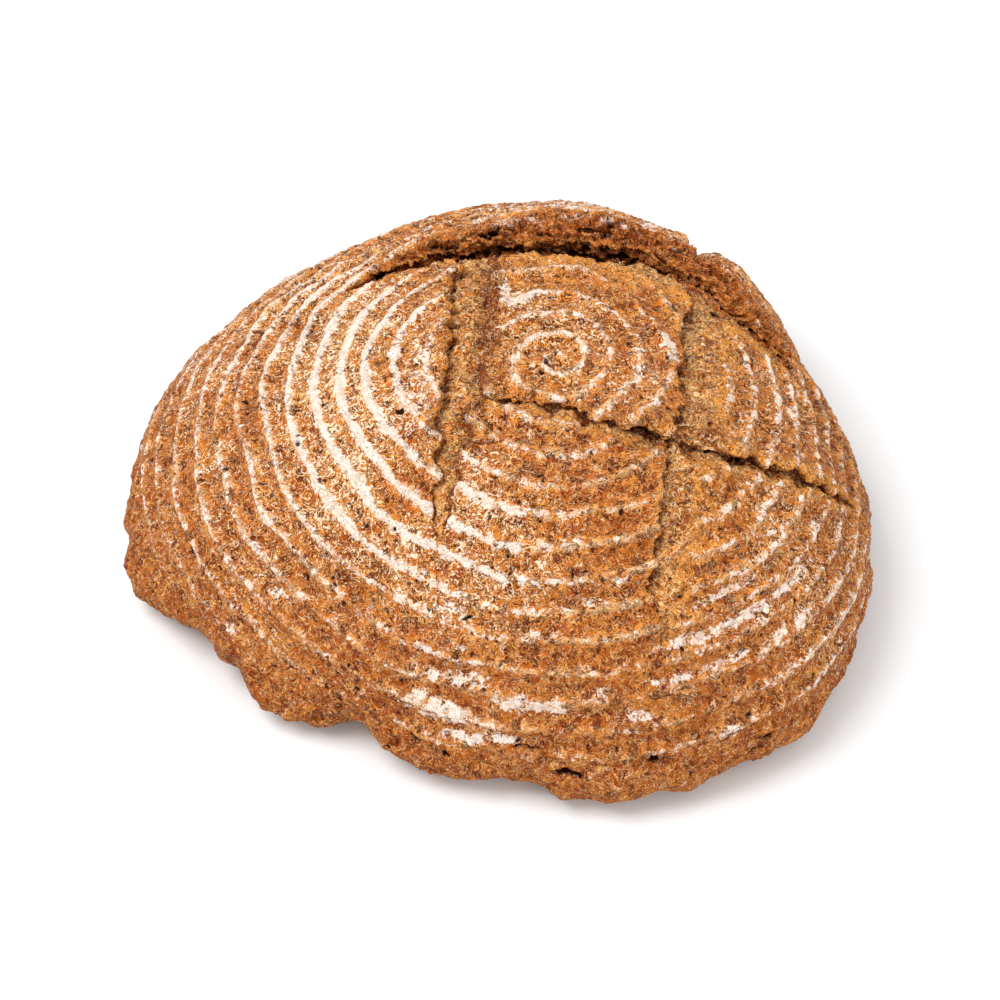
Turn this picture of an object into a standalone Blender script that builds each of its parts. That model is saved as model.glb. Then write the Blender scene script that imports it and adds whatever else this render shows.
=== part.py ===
"""A round wholemeal sourdough loaf, proved in a coiled cane basket and scored with four cuts.

The loaf is one solid. A crooked dome carries the spiral ridge that the basket's cane left, the lumps
of its foot and the ear that rose behind the rear cut. Four cutters then open the cuts.
Units are metres, +Z is up, and the loaf stands on z = 0 with its bounding box centred on the origin.
"""

import math

import bmesh
import bpy
import numpy as np

# The dome: its widest line seen from above is a circle pulled towards a few directions.
OUTLINE_RADIUS = 0.1252
OUTLINE_WAVES = ((2, 0.035, math.radians(-45)), (3, 0.059, math.radians(-52)))  # count, share, facing
CROWN_HEIGHT = 0.0945
CROWN_AT = np.array((0.013, -0.014))  # the highest point, which is also the coil's centre
PLAN_ROUNDING = 2.35  # 2 is an ellipse, more is squarer
SIDE_ROUNDING = 1.48
CROWN_DRIFT = 1.5  # how fast the dome's centre line runs back to the middle of the foot

# The side below the widest line, which curls in to the foot. The left heel rises off the table.
BELLY_HEIGHT = 0.0145
FOOT_TUCK = 0.017
HEEL_FACING = math.radians(200)
HEEL_SPREAD = math.radians(38)
HEEL_LIFT = 0.006
HEEL_TUCK = 0.016

# Lumps and notches of the foot: facing in degrees, half-width in degrees, reach in metres.
FOOT_LUMPS = (
    (198, 9, 0.014),
    (213, 4, -0.006),
    (230, 8, 0.010),
    (243, 4, -0.006),
    (256, 7, 0.004),
    (270, 4, -0.003),
    (282, 5, 0.003),
    (303, 3, -0.002),
    (316, 9, 0.003),
    (359, 5, 0.002),
    (20, 10, -0.002),
    (44, 10, 0.003),
    (80, 9, -0.002),
    (125, 14, 0.002),
    (160, 8, -0.002),
)
LUMP_TOP = 0.030  # the lumps fade out at this height

# The ridge left by the basket's cane.
COIL_PITCH = 0.0101
COIL_RELIEF = 0.0010
COIL_FADE = 0.02  # the ridge fades over this length above the foot

# The cuts: centre line points as x, y and half-width, then the depth of the floor. The far wall stands
# on the line's left. It leans out by far_lean, which is negative where it overhangs the floor. The crust
# beyond it is raised by lift and comes back down to the dome over lift_reach.
CUTS = {
    "left": dict(
        line=((-0.025, -0.070, 0.0012), (-0.0175, -0.034, 0.0070), (-0.012, 0.005, 0.0068), (-0.008, 0.040, 0.0060)),
        depth=0.0055,
        far_lean=0.0,
        lift=0.0015,
        lift_reach=0.010,
    ),
    "right": dict(
        line=((0.047, -0.096, 0.0010), (0.057, -0.048, 0.0062), (0.062, -0.004, 0.0068), (0.070, 0.027, 0.0060)),
        depth=0.0060,
        far_lean=0.0,
        lift=0.0,
        lift_reach=0.010,
    ),
    "front": dict(
        line=((-0.008, -0.034, 0.0020), (0.030, -0.043, 0.0040), (0.070, -0.046, 0.0046), (0.113, -0.032, 0.0012)),
        depth=0.0065,
        far_lean=-0.0020,
        lift=0.0015,
        lift_reach=0.012,
    ),
    "rear": dict(
        line=((-0.056, 0.036, 0.0015), (-0.012, 0.044, 0.0050), (0.036, 0.041, 0.0055), (0.098, 0.006, 0.0020)),
        depth=0.0100,
        far_lean=0.0085,
        lift=0.0060,
        lift_reach=0.030,
    ),
}
NOTCH_AT = 0.066  # the raised rear lip is broken at this x
NOTCH_WIDTH = 0.005
NOTCH_SHARE = 0.85

# How finely the solid is faceted.
FACINGS = 80
ROWS_PER_COIL = 3
BELLY_ROWS = 4
CUT_STATIONS = 15
CUTTER_TOP = 0.030  # the cutters stand this far out of the crust


def outline(facing):
    """Radius of the widest line towards a facing, in radians."""
    waves = sum(share * np.cos(count * (facing - towards)) for count, share, towards in OUTLINE_WAVES)
    return OUTLINE_RADIUS * (1 + waves)


def facing_bump(facing, centre, spread):
    """1 at the centre facing, falling off to 0 over about twice the spread."""
    away = (facing - centre + np.pi) % (2 * np.pi) - np.pi
    return np.exp(-((away / spread) ** 2))


def dome_point(reach, facing):
    """Point on the smooth dome: reach runs from 0 at the crown to 1 at the widest line."""
    radius = reach * outline(facing)
    drift = 1 - reach**CROWN_DRIFT
    belly = BELLY_HEIGHT + HEEL_LIFT * facing_bump(facing, HEEL_FACING, HEEL_SPREAD)
    fall = np.clip(1 - reach**PLAN_ROUNDING, 0, 1) ** (1 / SIDE_ROUNDING)
    return np.stack(
        (
            radius * np.cos(facing) + CROWN_AT[0] * drift,
            radius * np.sin(facing) + CROWN_AT[1] * drift,
            belly + (CROWN_HEIGHT - belly) * fall,
        ),
        axis=-1,
    )


def belly_point(curl, facing):
    """Point below the widest line: curl runs from 0 there to 1 at the foot's edge on the table."""
    heel = facing_bump(facing, HEEL_FACING, HEEL_SPREAD)
    tuck = FOOT_TUCK + HEEL_TUCK * heel
    height = BELLY_HEIGHT + HEEL_LIFT * heel
    turn = curl * np.pi / 2
    radius = outline(facing) - tuck * (1 - np.cos(turn))
    return np.stack(
        (radius * np.cos(facing), radius * np.sin(facing), height * (1 - np.sin(turn))), axis=-1
    )


def reach_at(plan):
    """The reach and facing of the dome point above a plan position, by repeated substitution."""
    reach = np.full(plan.shape[:-1], 0.5)
    for _ in range(12):
        from_centre = plan - CROWN_AT * (1 - reach**CROWN_DRIFT)[..., None]
        facing = np.arctan2(from_centre[..., 1], from_centre[..., 0])
        reach = np.clip(np.linalg.norm(from_centre, axis=-1) / outline(facing), 1e-6, 1)
    return reach, facing


def dome_normal(reach, facing):
    """Outward normal of the smooth dome."""
    step = 1e-4
    along = dome_point(np.clip(reach + step, 0, 1), facing) - dome_point(np.clip(reach - step, 0, 1), facing)
    across = dome_point(reach, facing + step) - dome_point(reach, facing - step)
    normal = np.cross(along, across)
    return normal / np.linalg.norm(normal, axis=-1, keepdims=True)


def smoothstep(value, low, high):
    share = np.clip((value - low) / (high - low), 0, 1)
    return share * share * (3 - 2 * share)


def cut_stations(cut, count):
    """Evenly spaced points on a cut's curved centre line, as rows of x, y and half-width."""
    keys = np.array(cut["line"])
    at = np.linspace(0, len(keys) - 1, count)
    # A Catmull-Rom curve through the key points.
    padded = np.vstack((2 * keys[0] - keys[1], keys, 2 * keys[-1] - keys[-2]))
    first = np.clip(at.astype(int), 0, len(keys) - 2)
    share = (at - first)[:, None]
    a, b, c, d = (padded[first + offset] for offset in range(4))
    return 0.5 * (
        2 * b + (c - a) * share + (2 * a - 5 * b + 4 * c - d) * share**2 + (3 * b - a - 3 * c + d) * share**3
    )


def cut_sides(stations):
    """Unit vectors pointing to the left of the line, at each station."""
    along = np.gradient(stations[:, :2], axis=0)
    left = np.stack((-along[:, 1], along[:, 0]), axis=1)
    return left / np.linalg.norm(left, axis=1, keepdims=True)


def lip_rise(points):
    """How far the raised lips lift the crust at these points: a ramp beyond each cut's far wall."""
    rise = np.zeros(points.shape[:-1])
    for cut in CUTS.values():
        if not cut["lift"]:
            continue
        line = cut_stations(cut, 60)
        left = cut_sides(line)
        away = points[..., None, :2] - line[:, :2]
        distances = np.linalg.norm(away, axis=-1)
        nearest = np.argmin(distances, axis=-1)
        distance = distances.min(axis=-1)
        behind = np.take_along_axis((away * left).sum(axis=-1), nearest[..., None], axis=-1)[..., 0]
        fullness = (line[:, 2] / line[:, 2].max())[nearest]
        lip = line[nearest, 2] + cut["far_lean"] * fullness
        ramp = (1 - smoothstep(distance, lip, lip + cut["lift_reach"])) * smoothstep(behind, -0.001, 0.001)
        rise = np.maximum(rise, cut["lift"] * fullness * ramp)
    notch = np.exp(-(((points[..., 0] - NOTCH_AT) / NOTCH_WIDTH) ** 2)) * (points[..., 1] > 0)
    return rise * (1 - NOTCH_SHARE * notch)


def foot_lumps(points, facing):
    """How far the foot's lumps push these points outwards."""
    height = 1 - smoothstep(points[..., 2], 0, LUMP_TOP)
    reach = sum(
        size * facing_bump(facing, math.radians(towards), math.radians(spread))
        for towards, spread, size in FOOT_LUMPS
    )
    return reach * height


def coil_ridge(travel, facing):
    """Height of the basket's spiral ridge, where travel is the distance over the crust from the crown."""
    return COIL_RELIEF / 2 * np.cos(2 * np.pi * travel / COIL_PITCH - facing)


def dome_rows():
    """Rings of crust points from the crown down to the foot, with their outward normals."""
    facing = np.arange(FACINGS) * 2 * np.pi / FACINGS
    reach = np.linspace(0, 1, 400)[:, None]
    fine = dome_point(reach, facing)
    steps = np.linalg.norm(np.diff(fine, axis=0), axis=-1)
    travel = np.vstack((np.zeros(FACINGS), np.cumsum(steps, axis=0)))
    count = int(travel[-1].mean() / COIL_PITCH * ROWS_PER_COIL)
    rows = []
    for index in range(1, count + 1):
        share = index / count
        row_reach = np.array(
            [np.interp(share * travel[-1, i], travel[:, i], reach[:, 0]) for i in range(FACINGS)]
        )
        points = dome_point(row_reach, facing)
        normals = dome_normal(np.minimum(row_reach, 0.999), facing)
        above_foot = smoothstep(travel[-1] * (1 - share), 0, COIL_FADE)
        height = coil_ridge(travel[-1] * share, facing) * above_foot + lip_rise(points)
        sideways = np.stack((np.cos(facing), np.sin(facing), np.zeros(FACINGS)), axis=-1)
        rows.append(points + normals * height[:, None] + sideways * foot_lumps(points, facing)[:, None])
    for index in range(1, BELLY_ROWS + 1):
        points = belly_point(index / BELLY_ROWS, facing)
        sideways = np.stack((np.cos(facing), np.sin(facing), np.zeros(FACINGS)), axis=-1)
        rows.append(points + sideways * foot_lumps(points, facing)[:, None])
    return rows


def loft(name, rows):
    """Closed mesh through rings of points: a bmesh circle extruded from row to row, with filled ends."""
    bm = bmesh.new()
    ring = bmesh.ops.create_circle(bm, segments=len(rows[0]), radius=1)["verts"]
    edges = list({edge for vert in ring for edge in vert.link_edges})
    for index, row in enumerate(rows):
        if index:
            made = bmesh.ops.extrude_edge_only(bm, edges=edges)["geom"]
            successor = {}
            new_verts = [item for item in made if isinstance(item, bmesh.types.BMVert)]
            for vert in new_verts:
                for edge in vert.link_edges:
                    other = edge.other_vert(vert)
                    if other in ring_set:
                        successor[other] = vert
            edges = [item for item in made if isinstance(item, bmesh.types.BMEdge) and len(item.link_faces) == 1]
            ring = [successor[vert] for vert in ring]
        ring_set = set(ring)
        for vert, place in zip(ring, row):
            vert.co = place
    bmesh.ops.holes_fill(bm, edges=[edge for edge in bm.edges if len(edge.link_faces) < 2])
    caps = [face for face in bm.faces if len(face.verts) > 4]
    bmesh.ops.triangulate(bm, faces=caps)
    bmesh.ops.recalc_face_normals(bm, faces=bm.faces)
    mesh = bpy.data.meshes.new(name)
    bm.to_mesh(mesh)
    bm.free()
    obj = bpy.data.objects.new(name, mesh)
    bpy.context.scene.collection.objects.link(obj)
    return obj


def cutter(name, cut):
    """The solid that opens one cut: a tapering trench whose far wall leans over the floor."""
    stations = cut_stations(cut, CUT_STATIONS)
    left = cut_sides(stations)
    reach, facing = reach_at(stations[:, :2])
    base = dome_point(reach, facing)
    normals = dome_normal(reach, facing)
    rows = []
    for index, (point, normal) in enumerate(zip(base, normals)):
        across = np.array((*left[index], 0.0))
        across -= normal * (across @ normal)
        across /= np.linalg.norm(across)
        half = stations[index, 2]
        fullness = half / stations[:, 2].max()
        depth = cut["depth"] * (0.35 + 0.65 * fullness)
        lean = cut["far_lean"] * fullness
        lip = cut["lift"] * fullness + 0.001
        top = CUTTER_TOP * (0.3 + 0.7 * fullness)
        profile = (
            (-half * 1.5, top),
            (-half, 0.0),
            (-half * 0.55, -depth * 0.8),
            (half * 0.55, -depth),
            (half + max(-lean, 0) * 0.4, -depth * 0.5),
            (half + lean, lip),
            (half + lean * 1.3 + max(-lean, 0), top),
        )
        rows.append(np.array([point + across * side + normal * height for side, height in profile]))
    obj = loft(name, rows)
    obj.hide_render = True
    obj.display_type = "WIRE"
    return obj


def crust_material():
    material = bpy.data.materials.new("crust")
    material.use_nodes = True
    shader = material.node_tree.nodes["Principled BSDF"]
    shader.inputs["Base Color"].default_value = (0.47, 0.20, 0.075, 1)
    shader.inputs["Roughness"].default_value = 0.8
    shader.inputs["Metallic"].default_value = 0.0
    return material


def build_loaf():
    for obj in list(bpy.data.objects):
        bpy.data.objects.remove(obj)
    loaf = loft("loaf", dome_rows())
    for name, cut in CUTS.items():
        opening = loaf.modifiers.new(name + "_cut", "BOOLEAN")
        opening.operation = "DIFFERENCE"
        opening.solver = "EXACT"
        opening.object = cutter(name + "_cutter", cut)
    loaf.data.materials.append(crust_material())
    # The bounding box is centred over the origin; the cutters move with the loaf.
    corners = np.array([vert.co for vert in loaf.data.vertices])
    middle = (corners.min(axis=0) + corners.max(axis=0)) / 2
    for obj in bpy.data.objects:
        obj.location = (-middle[0], -middle[1], 0)
    loaf.data.shade_smooth()
    loaf.data.set_sharp_from_angle(angle=math.radians(40))


build_loaf()
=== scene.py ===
"""A round wholemeal sourdough loaf on a pale table.

The crust is one continuous skin: a crooked dome opened by four cuts. Every point of the skin is laid on
the smooth dome first, then parted by the cuts, then roughened. The skin is kept in seven pieces, because
one piece can't hold its grain: two halves of the crown, four flanks and the underside.
"""

import math

import bmesh
import bpy
import numpy as np
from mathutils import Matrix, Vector, noise


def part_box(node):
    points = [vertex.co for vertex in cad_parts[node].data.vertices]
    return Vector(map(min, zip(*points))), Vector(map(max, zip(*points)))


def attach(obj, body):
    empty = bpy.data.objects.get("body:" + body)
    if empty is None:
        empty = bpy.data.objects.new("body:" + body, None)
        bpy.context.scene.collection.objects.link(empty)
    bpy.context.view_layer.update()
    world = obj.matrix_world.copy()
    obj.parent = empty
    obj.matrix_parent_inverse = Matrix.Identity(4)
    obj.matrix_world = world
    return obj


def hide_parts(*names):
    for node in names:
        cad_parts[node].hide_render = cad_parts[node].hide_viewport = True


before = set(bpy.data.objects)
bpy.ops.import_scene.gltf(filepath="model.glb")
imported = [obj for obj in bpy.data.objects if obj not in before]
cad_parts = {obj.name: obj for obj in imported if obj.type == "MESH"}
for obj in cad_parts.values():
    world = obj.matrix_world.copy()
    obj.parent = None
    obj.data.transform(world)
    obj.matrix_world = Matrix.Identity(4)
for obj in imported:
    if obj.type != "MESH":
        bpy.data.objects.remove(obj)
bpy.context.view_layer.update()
noise.seed_set(1)  # any seed but 0, which takes the clock's

# ---------------------------------------------------------------- sizes, in metres

# The dome: its widest line seen from above is a circle pulled towards a few directions.
OUTLINE_RADIUS = 0.1252
OUTLINE_WAVES = ((2, 0.035, math.radians(-45)), (3, 0.059, math.radians(-52)))  # count, share, facing
CROWN_HEIGHT = 0.0945
CROWN_AT = np.array((0.013, -0.014))  # the highest point, which is also the coil's centre
PLAN_ROUNDING = 2.35
SIDE_ROUNDING = 1.48
CROWN_DRIFT = 1.5

# The side below the widest line, which curls in to the foot. The left heel rises off the table.
BELLY_HEIGHT = 0.0145
FOOT_TUCK = 0.017
HEEL_FACING = math.radians(200)
HEEL_SPREAD = math.radians(38)
HEEL_LIFT = 0.006
HEEL_TUCK = 0.016

# Lumps and notches of the foot: facing in degrees, half-width in degrees, reach in metres.
FOOT_LUMPS = (
    (186.5, 2.2, 0.004), (198, 9, 0.014), (213, 4, -0.006), (230, 8, 0.01), (243, 4, -0.006),
    (256, 7, 0.004), (270, 4, -0.003), (282, 5, 0.003), (303, 3, -0.002), (316, 9, 0), (331, 8, -0.003),
    (359, 5, 0.002), (20, 10, -0.002), (44, 10, 0.003), (80, 9, -0.002), (125, 14, 0.002), (160, 8, -0.002),
)
LUMP_TOP = 0.030

# The ridge left by the basket's cane.
COIL_PITCH = 0.0101
COIL_RELIEF = 0.0014

# The cuts. line holds centre line points as x, y and half-width. Each section runs across the cut from its
# right to its left: how many half-widths across, what is added to that, and the height, in metres at the
# cut's fullest, then how much of the surface there is crumb, and how dark it is painted: scorched crust, and
# painted shade under the lips and at the bottoms of the cuts. A section stands at a share of the way along
# the line, and the cut passes smoothly from one to the next.
CUTS = {
    "left": dict(
        line=(
            (-0.024, -0.078, 0.0004), (-0.022, -0.061, 0.0034), (-0.0189, -0.044, 0.0056),
            (-0.0164, -0.027, 0.0073), (-0.0153, -0.01, 0.0076), (-0.014, 0.007, 0.0077),
            (-0.0129, 0.024, 0.0073), (-0.0122, 0.041, 0.0066),
        ),
        sections=(
            (0,
                (-1, -0.006, 0, 0, 0), (-1, -0.0022, 0.0008, 0, 0), (-1, -0.0006, 0.0014, 0.1, 0.6),
                (-1, 0.0006, -0.0008, 0.5, 1), (-1, 0.0026, -0.0036, 1, 1.2), (-0.5, 0, -0.0036, 1, 0.5),
                (0, 0, -0.0026, 1, 0), (0.5, 0, -0.0034, 1, 0), (0.92, 0, -0.0048, 1, 0.3),
                (1, 0.0006, -0.0052, 1, 1), (1, 0.0004, -0.0028, 1, 0.9), (1, -0.0008, -0.0004, 0.6, 0.4),
                (1, -0.0004, 0.0014, 0.1, 0.1), (1, 0.0014, 0.002, 0, 0), (1, 0.006, 0.0008, 0, 0),
            ),
            (0.9,
                (-1, -0.006, 0, 0, 0), (-1, -0.0022, 0.0006, 0, 0), (-1, -0.0006, 0.002, 0.1, 0.7),
                (-1, 0.0006, -0.0006, 0.5, 1.1), (-1, 0.0028, -0.0038, 1, 1.3),
                (-0.45, 0, -0.0038, 1, 0.55), (0, 0, -0.0018, 1, 0.1), (0.5, 0, -0.0022, 1, 0.1),
                (0.92, 0, -0.0036, 1, 0.3), (1, 0.0002, -0.004, 1, 0.9), (1, 0, -0.0022, 1, 0.9),
                (1, -0.0004, 0, 0.6, 0.6), (1, 0, 0.0014, 0.1, 0.2), (1, 0.0014, 0.0018, 0, 0),
                (1, 0.006, 0.0008, 0, 0),
            ),
        ),
    ),
    "right": dict(
        line=(
            (0.0465, -0.105, 0.0004), (0.047, -0.089, 0.005), (0.0492, -0.073, 0.0062),
            (0.0518, -0.056, 0.0068), (0.057, -0.039, 0.008), (0.0598, -0.02, 0.0086),
            (0.0616, 0.002, 0.009), (0.0634, 0.024, 0.0088),
        ),
        sections=(
            (0.5,
                (-1, -0.006, 0.0006, 0, 0), (-1, -0.0012, 0.0008, 0.1, 0.1), (-1, 0.0004, 0, 0.4, 0.4),
                (-1, 0.002, -0.0006, 0.9, 0.4), (-0.5, 0, -0.0014, 1, 0.5), (0, 0, -0.002, 1, 0.35),
                (0.5, 0, -0.0028, 1, 0.4), (0.86, 0, -0.0046, 1, 0.7), (1, 0.0006, -0.0058, 1, 1),
                (1, 0.0004, -0.0026, 0.9, 1), (1, -0.001, 0, 0.5, 0.8), (1, -0.0004, 0.0014, 0.1, 0.3),
                (1, 0.002, 0.0012, 0, 0), (1, 0.006, 0.0006, 0, 0),
            ),
        ),
    ),
    "front": dict(
        line=(
            (-0.01, -0.0325, 0.0008), (0.008, -0.0365, 0.0026), (0.026, -0.042, 0.0034),
            (0.042, -0.0455, 0.0046), (0.056, -0.047, 0.0034), (0.07, -0.0465, 0.0044),
            (0.085, -0.044, 0.0034), (0.1, -0.0385, 0.003), (0.117, -0.028, 0.0004),
        ),
        sections=(
            (0.3,
                (-1, -0.006, 0.0002, 0, 0), (-1, -0.0014, 0.0006, 0, 0), (-1, 0.0002, -0.0004, 0.3, 0.2),
                (-0.5, 0, -0.0018, 0.9, 0.1), (0.2, 0, -0.003, 1, 0.2), (0.8, 0, -0.0046, 1, 0.8),
                (1, 0.001, -0.006, 1, 1), (1, 0.0014, -0.0042, 1, 1), (1, 0, -0.0022, 0.9, 0.9),
                (1, -0.0018, -0.0006, 0.4, 0.3), (1, -0.0018, 0.001, 0.1, 0.2),
                (1, -0.0004, 0.0022, 0, 0.1), (1, 0.002, 0.0022, 0, 0), (1, 0.007, 0.001, 0, 0),
            ),
            (0.62,
                (-1, -0.006, 0.0002, 0, 0), (-1, -0.0014, 0.0008, 0.1, 0), (-1, 0.0002, -0.0004, 0.5, 0.2),
                (-0.5, 0, -0.002, 1, 0.1), (0.2, 0, -0.0036, 1, 0.3), (0.8, 0, -0.0052, 1, 0.9),
                (1, 0.0004, -0.0064, 1, 1), (1, 0.0006, -0.0044, 1, 1), (1, -0.0006, -0.002, 0.9, 0.7),
                (1, -0.0022, 0.0002, 0.5, 0.2), (1, -0.0022, 0.0018, 0.4, 0.3),
                (1, -0.0004, 0.003, 0.2, 0.1), (1, 0.0024, 0.0024, 0.1, 0.1), (1, 0.007, 0.001, 0, 0),
            ),
        ),
    ),
    "rear": dict(
        line=(
            (-0.06, 0.032, 0.0003), (-0.042, 0.039, 0.0034), (-0.024, 0.043, 0.0058),
            (-0.006, 0.0448, 0.0072), (0.013, 0.0448, 0.0078), (0.031, 0.0422, 0.0082),
            (0.047, 0.0366, 0.0088), (0.062, 0.0284, 0.0086), (0.0735, 0.0208, 0.0072),
            (0.086, 0.013, 0.004), (0.099, 0.003, 0.0004),
        ),
        sections=(
            (0.15,
                (-1, -0.01, 0, 0, 0), (-1, -0.004, 0.0006, 0, 0), (-1, -0.0012, 0.0012, 0.2, 0.1),
                (-1, 0.0004, 0.0002, 0.8, 0.3), (-0.7, 0, -0.002, 1, 0.1), (-0.2, 0, -0.0042, 1, 0.5),
                (0.3, 0, -0.0064, 1, 0.9), (0.75, 0, -0.0084, 1, 1), (1, 0.0034, -0.01, 1, 1),
                (1, 0.0042, -0.0074, 1, 1), (1, 0.002, -0.0034, 0.8, 0.9), (1, 0.0002, -0.0018, 0.6, 0.3),
                (1, 0.0016, -0.0002, 0.5, 0.6), (1, 0.0034, 0.0016, 0.4, 0.6),
                (1, 0.0052, 0.0036, 0.3, 0.5), (1, 0.0068, 0.005, 0.2, 0.3), (1, 0.0084, 0.0058, 0, 0.2),
                (1, 0.012, 0.0056, 0, 0), (1, 0.024, 0.0028, 0, 0),
            ),
            (0.45,
                (-1, -0.01, 0, 0, 0), (-1, -0.0048, 0.001, 0.1, 0), (-1, -0.002, 0.0018, 0.35, 0),
                (-1, 0.0002, 0.0012, 0.7, 0.1), (-0.7, 0, -0.0022, 1, 0.1), (-0.2, 0, -0.004, 1, 0.4),
                (0.3, 0, -0.0066, 1, 0.9), (0.75, 0, -0.0092, 1, 1), (1, 0.004, -0.012, 1, 1),
                (1, 0.0054, -0.008, 1, 1), (1, 0.0028, -0.003, 0.8, 1), (1, 0.0006, -0.0014, 0.6, 0.3),
                (1, 0.0018, 0, 0.5, 0.8), (1, 0.0038, 0.0014, 0.4, 1), (1, 0.0058, 0.0038, 0.3, 0.9),
                (1, 0.0074, 0.0054, 0.2, 0.7), (1, 0.0092, 0.0062, 0, 0.5), (1, 0.013, 0.0058, 0, 0.3),
                (1, 0.024, 0.0034, 0, 0),
            ),
            (0.59,
                (-1, -0.01, 0, 0, 0), (-1, -0.0048, 0.001, 0.1, 0), (-1, -0.002, 0.0018, 0.35, 0),
                (-1, 0.0002, 0.001, 0.7, 0.1), (-0.7, 0, -0.001, 1, 0), (-0.2, 0, -0.0018, 1, 0),
                (0.4, 0, -0.0028, 1, 0.2), (0.85, 0, -0.0044, 1, 0.8), (1, 0.0034, -0.0078, 1, 1),
                (1, 0.004, -0.0054, 1, 1), (1, 0.0018, -0.003, 0.8, 0.9), (1, 0.0008, -0.0016, 0.5, 0.4),
                (1, 0.0026, 0.0004, 0.4, 0.7), (1, 0.0046, 0.0022, 0.3, 0.8), (1, 0.0064, 0.0012, 0.2, 1),
                (1, 0.006, 0.003, 0, 0.6), (1, 0.0082, 0.0044, 0, 0.5), (1, 0.013, 0.0036, 0, 0.3),
                (1, 0.024, 0.001, 0, 0),
            ),
            (0.71,
                (-1, -0.01, 0, 0, 0), (-1, -0.0048, 0.001, 0.1, 0), (-1, -0.002, 0.002, 0.5, 0),
                (-1, 0.0002, 0.0012, 0.7, 0.1), (-0.7, 0, -0.0016, 1, 0.1), (-0.1, 0, -0.0026, 1, 0),
                (0.5, 0, -0.003, 1, 0.1), (0.9, 0.001, -0.0038, 1, 0.6), (1, 0.0034, -0.0058, 1, 1),
                (1, 0.0038, -0.0042, 1, 1), (1, 0.0026, -0.0022, 0.6, 0.8), (1, 0.002, -0.001, 0.4, 0.4),
                (1, 0.0038, 0.0006, 0.2, 0.5), (1, 0.006, 0.002, 0.1, 0.6), (1, 0.0082, 0.0034, 0, 0.6),
                (1, 0.0098, 0.0044, 0, 0.6), (1, 0.0118, 0.0048, 0, 0.5), (1, 0.0155, 0.0042, 0, 0.3),
                (1, 0.024, 0.0018, 0, 0),
            ),
        ),
    ),
}
CUT_SPREAD = {"left": 0.024, "right": 0.024, "front": 0.022, "rear": 0.046}  # how far each cut is felt
CUT_RAGGED = {"left": 0.0030, "right": 0.0030, "front": 0.0036, "rear": 0.0040}

# The crust behind the rear cut drops in a step, whose face looks to the right.
STEP_AT = 0.0605  # x of its face
STEP_FLAT = 0.005  # how far past that the crust stays low
STEP_END = 0.0715  # x where it has risen again
STEP_FROM = 0.052  # y of the step's end at the cut
STEP_DROP = 0.0052
STEP_BLUR = 0.0010
STEP_END_BLUR = 0.004

# Where the crust has sunk or swollen: x, y, spread and height.
SWELLINGS = (
    (0.046, 0.092, 0.014, -0.0026), (0.077, 0.076, 0.007, 0.0018), (0.102, 0.044, 0.016, -0.0034),
    (-0.008, 0.066, 0.014, -0.0012),
)

# Holes in the crust: x, y, z on the finished loaf, then radius.
HOLES = (
    (0.0165, -0.0175, 0.094, 0.0012), (0.0145, -0.0205, 0.094, 0.0011), (-0.03, -0.033, 0.088, 0.0012),
    (0.022, -0.1245, 0.02, 0.003), (0.026, -0.1245, 0.019, 0.002), (0.0075, -0.12, 0.027, 0.0017),
    (0.0115, -0.1205, 0.0275, 0.0014), (0.0505, -0.122, 0.025, 0.0022), (0.0545, -0.1215, 0.024, 0.0013),
    (0.087, -0.109, 0.02, 0.0022), (0.083, -0.113, 0.0155, 0.0018), (0.079, -0.115, 0.014, 0.0014),
    (-0.015, -0.116, 0.0185, 0.0014), (0.065, -0.1205, 0.018, 0.0012), (-0.008, -0.095, 0.06, 0.0014),
    (0.073, 0.024, 0.076, 0.0022), (0.079, 0.019, 0.074, 0.0012), (0.086, -0.0445, 0.07, 0.002),
    (-0.013, 0.018, 0.085, 0.0012), (-0.017, -0.005, 0.085, 0.0014),
)

# The skin's grid.
CROWN_CELLS = 440  # across the crown's square grid, and around each flank
FLANK_ROWS = 214
CROWN_SHARE = 0.56  # of the way from the crown down to the widest line
BELLY_LENGTH = 0.026  # over the skin, from the widest line down to the table

STATIONS = 140  # along each cut
POINTS_AT_ONCE = 60000  # whose nearest stations are looked up together
CUTS_END = 0.98  # of the way down to the widest line, past which no cut reaches

# How high or deep the grain of the crust, the crumb, the torn face and the foot is.
LUMP_RELIEF = 0.0011
BLISTER_RELIEF = 0.0005
BRAN_RELIEF = 0.0004
GRIT_RELIEF = 0.0002
PIT_DEPTH = 1.3  # for a round hole 1 deep
CRUMB_BULGES = 0.0007
CRUMB_TEARS = 0.0007
CRUMB_BRAN = 0.0003
PORE_DEPTH = 1.8
SHEET_RELIEF = 0.0020
GASH_DEPTH = 0.0085
LEDGE_RELIEF = 0.0006
LOBE_RELIEF = 0.0034
HOLE_DEPTH = 1.6  # in radii

# Table, lights and camera.
TABLE_COLOUR = (0.83, 0.84, 0.845, 1)
SKY_STRENGTH = 0.95
LIGHTS = (  # name, place, target, width, power
    ("key", (-0.62, -0.16, 1.20), (0, 0, 0.04), 0.8, 12),
    ("fill", (0.80, -0.80, 0.42), (0, 0, 0.05), 0.6, 3),
)
CAMERA_PLACE = (0.0057, -0.6142, 0.6982)
CAMERA_TARGET = (0.0013, -0.0156, 0.0259)
SENSOR = 36  # mm
LENS = 95.6  # mm


# ---------------------------------------------------------------- the smooth loaf


def outline(facing):
    """Radius of the widest line towards a facing, in radians."""
    waves = sum(share * np.cos(count * (facing - towards)) for count, share, towards in OUTLINE_WAVES)
    return OUTLINE_RADIUS * (1 + waves)


def facing_bump(facing, centre, spread):
    away = (facing - centre + np.pi) % (2 * np.pi) - np.pi
    return np.exp(-((away / spread) ** 2))


def smoothstep(value, low, high):
    share = np.clip((value - low) / (high - low), 0, 1)
    return share * share * (3 - 2 * share)


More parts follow.
